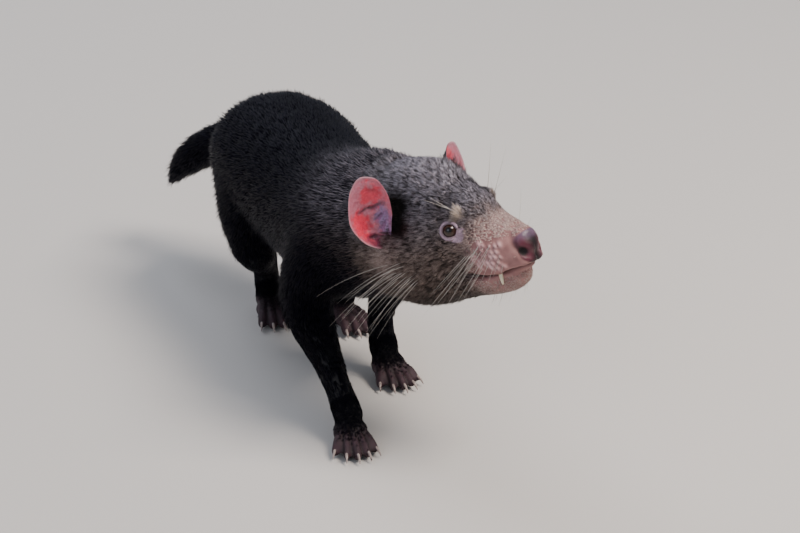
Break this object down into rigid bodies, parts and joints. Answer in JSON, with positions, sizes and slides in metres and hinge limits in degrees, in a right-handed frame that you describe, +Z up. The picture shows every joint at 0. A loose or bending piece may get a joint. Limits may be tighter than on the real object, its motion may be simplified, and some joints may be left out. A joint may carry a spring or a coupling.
{
  "type": "tasmanian devil",
  "caption": "Life-size still model of a small adult Tasmanian devil walking with its head turned to its left, for a museum or a scene.",
  "frame": {"origin": "on the floor under the middle of the animal's bounding box", "axes": "+Z up, +X the animal's left, -Y the way the trunk faces"},
  "size_m": [0.1765, 0.5692, 0.2719],
  "materials": {
    "coat": "short black fur with a faint blue sheen",
    "face_skin": "bare skin and thin brown fur",
    "ear_skin": "thin red-pink skin",
    "foot_skin": "dark bare skin",
    "eye": "wet and glossy",
    "tooth": "ivory",
    "claw": "pale horn",
    "whisker": "stiff pale hair"
  },
  "bodies": {
    "root": {"head": "face_skin", "jaw": "face_skin", "neck": "coat", "torso": "coat", "tail": "coat", "ear_right": "ear_skin", "ear_left": "ear_skin", "eye_right": "eye", "eye_left": "eye", "canine_right": "tooth", "canine_left": "tooth", "brow_whisker_right_front": "whisker", "brow_whisker_right_back": "whisker", "brow_whisker_left_front": "whisker", "brow_whisker_left_back": "whisker", "upper_foreleg_right": "coat", "upper_foreleg_left": "coat", "lower_foreleg_right": "coat", "lower_foreleg_left": "coat", "forefoot_right": "foot_skin", "forefoot_left": "foot_skin", "upper_hindleg_right": "coat", "upper_hindleg_left": "coat", "lower_hindleg_right": "coat", "lower_hindleg_left": "coat", "hindfoot_right": "foot_skin", "hindfoot_left": "foot_skin"}
  },
  "joints": []
}
